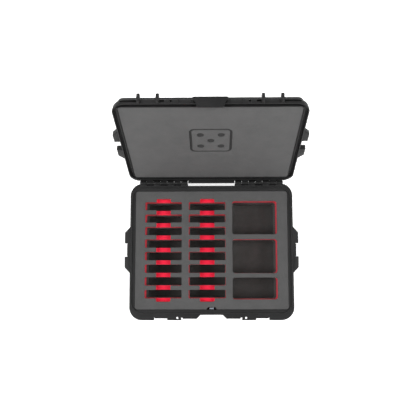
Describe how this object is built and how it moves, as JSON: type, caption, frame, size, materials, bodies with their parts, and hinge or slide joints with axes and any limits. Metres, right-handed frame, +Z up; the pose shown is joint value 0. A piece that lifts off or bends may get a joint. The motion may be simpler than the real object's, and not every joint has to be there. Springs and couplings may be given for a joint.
{
  "type": "miniature carry case",
  "caption": "Black hard-shell transport case, lid open, with a layered foam insert of upright tray slots, finger channels and open compartments.",
  "frame": {"origin": "centre of the foam insert's footprint, on the underside that the case stands on", "axes": "+Z up, +Y to the hinge side, -Y to the front with the handle, +X to the right seen from the front"},
  "size_m": [0.547, 0.6014, 0.5483],
  "materials": {
    "shell_plastic": "fine moulded texture, satin black",
    "latch_plastic": "satin black, slightly smoother than the shell",
    "rubber": "matt black rubber",
    "grey_foam": "closed-cell foam, dark grey, matt",
    "red_foam": "closed-cell foam, red, matt",
    "black_foam": "closed-cell foam, black, matt",
    "steel": "plain steel pin",
    "valve_grey": "light blue-grey moulded plastic"
  },
  "bodies": {
    "base": {"base_shell": "shell_plastic", "foam_top_layer": "grey_foam", "foam_red_upper_left": "red_foam", "foam_red_upper_centre": "red_foam", "foam_red_lower_left": "red_foam", "foam_red_lower_centre": "red_foam", "foam_red_right": "red_foam", "foam_black_left": "black_foam", "foam_black_centre": "black_foam", "foam_black_right": "black_foam", "foam_floor_pad": "black_foam", "hinge_pin_left": "steel", "hinge_pin_right": "steel", "handle_pin_left": "steel", "handle_pin_right": "steel", "valve_body": "valve_grey", "valve_nut": "valve_grey", "latch_pin_front_left": "steel", "latch_pin_front_right": "steel", "latch_pin_left": "steel", "latch_pin_right": "steel"},
    "lid": {"lid_shell": "shell_plastic", "lid_foam": "grey_foam", "lid_gasket": "rubber"},
    "carry_handle": {"carry_handle": "latch_plastic", "handle_grip": "rubber"},
    "valve_knob": {"valve_knob": "valve_grey"},
    "latch_front_left": {"latch_lever_front_left": "latch_plastic", "trigger_pin_front_left": "steel"},
    "trigger_front_left": {"latch_trigger_front_left": "latch_plastic"},
    "latch_front_right": {"latch_lever_front_right": "latch_plastic", "trigger_pin_front_right": "steel"},
    "trigger_front_right": {"latch_trigger_front_right": "latch_plastic"},
    "latch_left": {"latch_lever_left": "latch_plastic", "trigger_pin_left": "steel"},
    "trigger_left": {"latch_trigger_left": "latch_plastic"},
    "latch_right": {"latch_lever_right": "latch_plastic", "trigger_pin_right": "steel"},
    "trigger_right": {"latch_trigger_right": "latch_plastic"}
  },
  "joints": [
    {"name": "lid_hinge", "type": "hinge", "parent": "base", "child": "lid", "pos_m": [0, 0.2125, 0.1462], "axis": [1, 0, 0], "range_deg": [0, 109.4]},
    {"name": "handle_swing", "type": "hinge", "parent": "base", "child": "carry_handle", "pos_m": [0, -0.2005, 0.124], "axis": [-1, 0, 0], "range_deg": [-2, 90]},
    {"name": "valve_turn", "type": "hinge", "parent": "base", "child": "valve_knob", "pos_m": [0, -0.1963, 0.134], "axis": [0, -1, 0], "range_deg": [0, 180]},
    {"name": "latch_swing_front_left", "type": "hinge", "parent": "base", "child": "latch_front_left", "pos_m": [-0.159, -0.209, 0.132], "axis": [-1, 0, 0], "range_deg": [-4, 190]},
    {"name": "trigger_press_front_left", "type": "hinge", "parent": "latch_front_left", "child": "trigger_front_left", "pos_m": [-0.159, -0.20115, 0.11917], "axis": [-1, 0, 0], "range_deg": [0, 8], "stiffness_Nm_per_rad": 0.05, "springref_deg": -5.73},
    {"name": "latch_swing_front_right", "type": "hinge", "parent": "base", "child": "latch_front_right", "pos_m": [0.159, -0.209, 0.132], "axis": [-1, 0, 0], "range_deg": [-4, 190]},
    {"name": "trigger_press_front_right", "type": "hinge", "parent": "latch_front_right", "child": "trigger_front_right", "pos_m": [0.159, -0.20115, 0.11917], "axis": [-1, 0, 0], "range_deg": [0, 8], "stiffness_Nm_per_rad": 0.05, "springref_deg": -5.73},
    {"name": "latch_swing_left", "type": "hinge", "parent": "base", "child": "latch_left", "pos_m": [-0.2635, 0, 0.132], "axis": [0, 1, 0], "range_deg": [-4, 190]},
    {"name": "trigger_press_left", "type": "hinge", "parent": "latch_left", "child": "trigger_left", "pos_m": [-0.25565, 0, 0.11917], "axis": [0, 1, 0], "range_deg": [0, 8], "stiffness_Nm_per_rad": 0.05, "springref_deg": -5.73},
    {"name": "latch_swing_right", "type": "hinge", "parent": "base", "child": "latch_right", "pos_m": [0.2635, 0, 0.132], "axis": [0, -1, 0], "range_deg": [-4, 190]},
    {"name": "trigger_press_right", "type": "hinge", "parent": "latch_right", "child": "trigger_right", "pos_m": [0.25565, 0, 0.11917], "axis": [0, -1, 0], "range_deg": [0, 8], "stiffness_Nm_per_rad": 0.05, "springref_deg": -5.73}
  ]
}
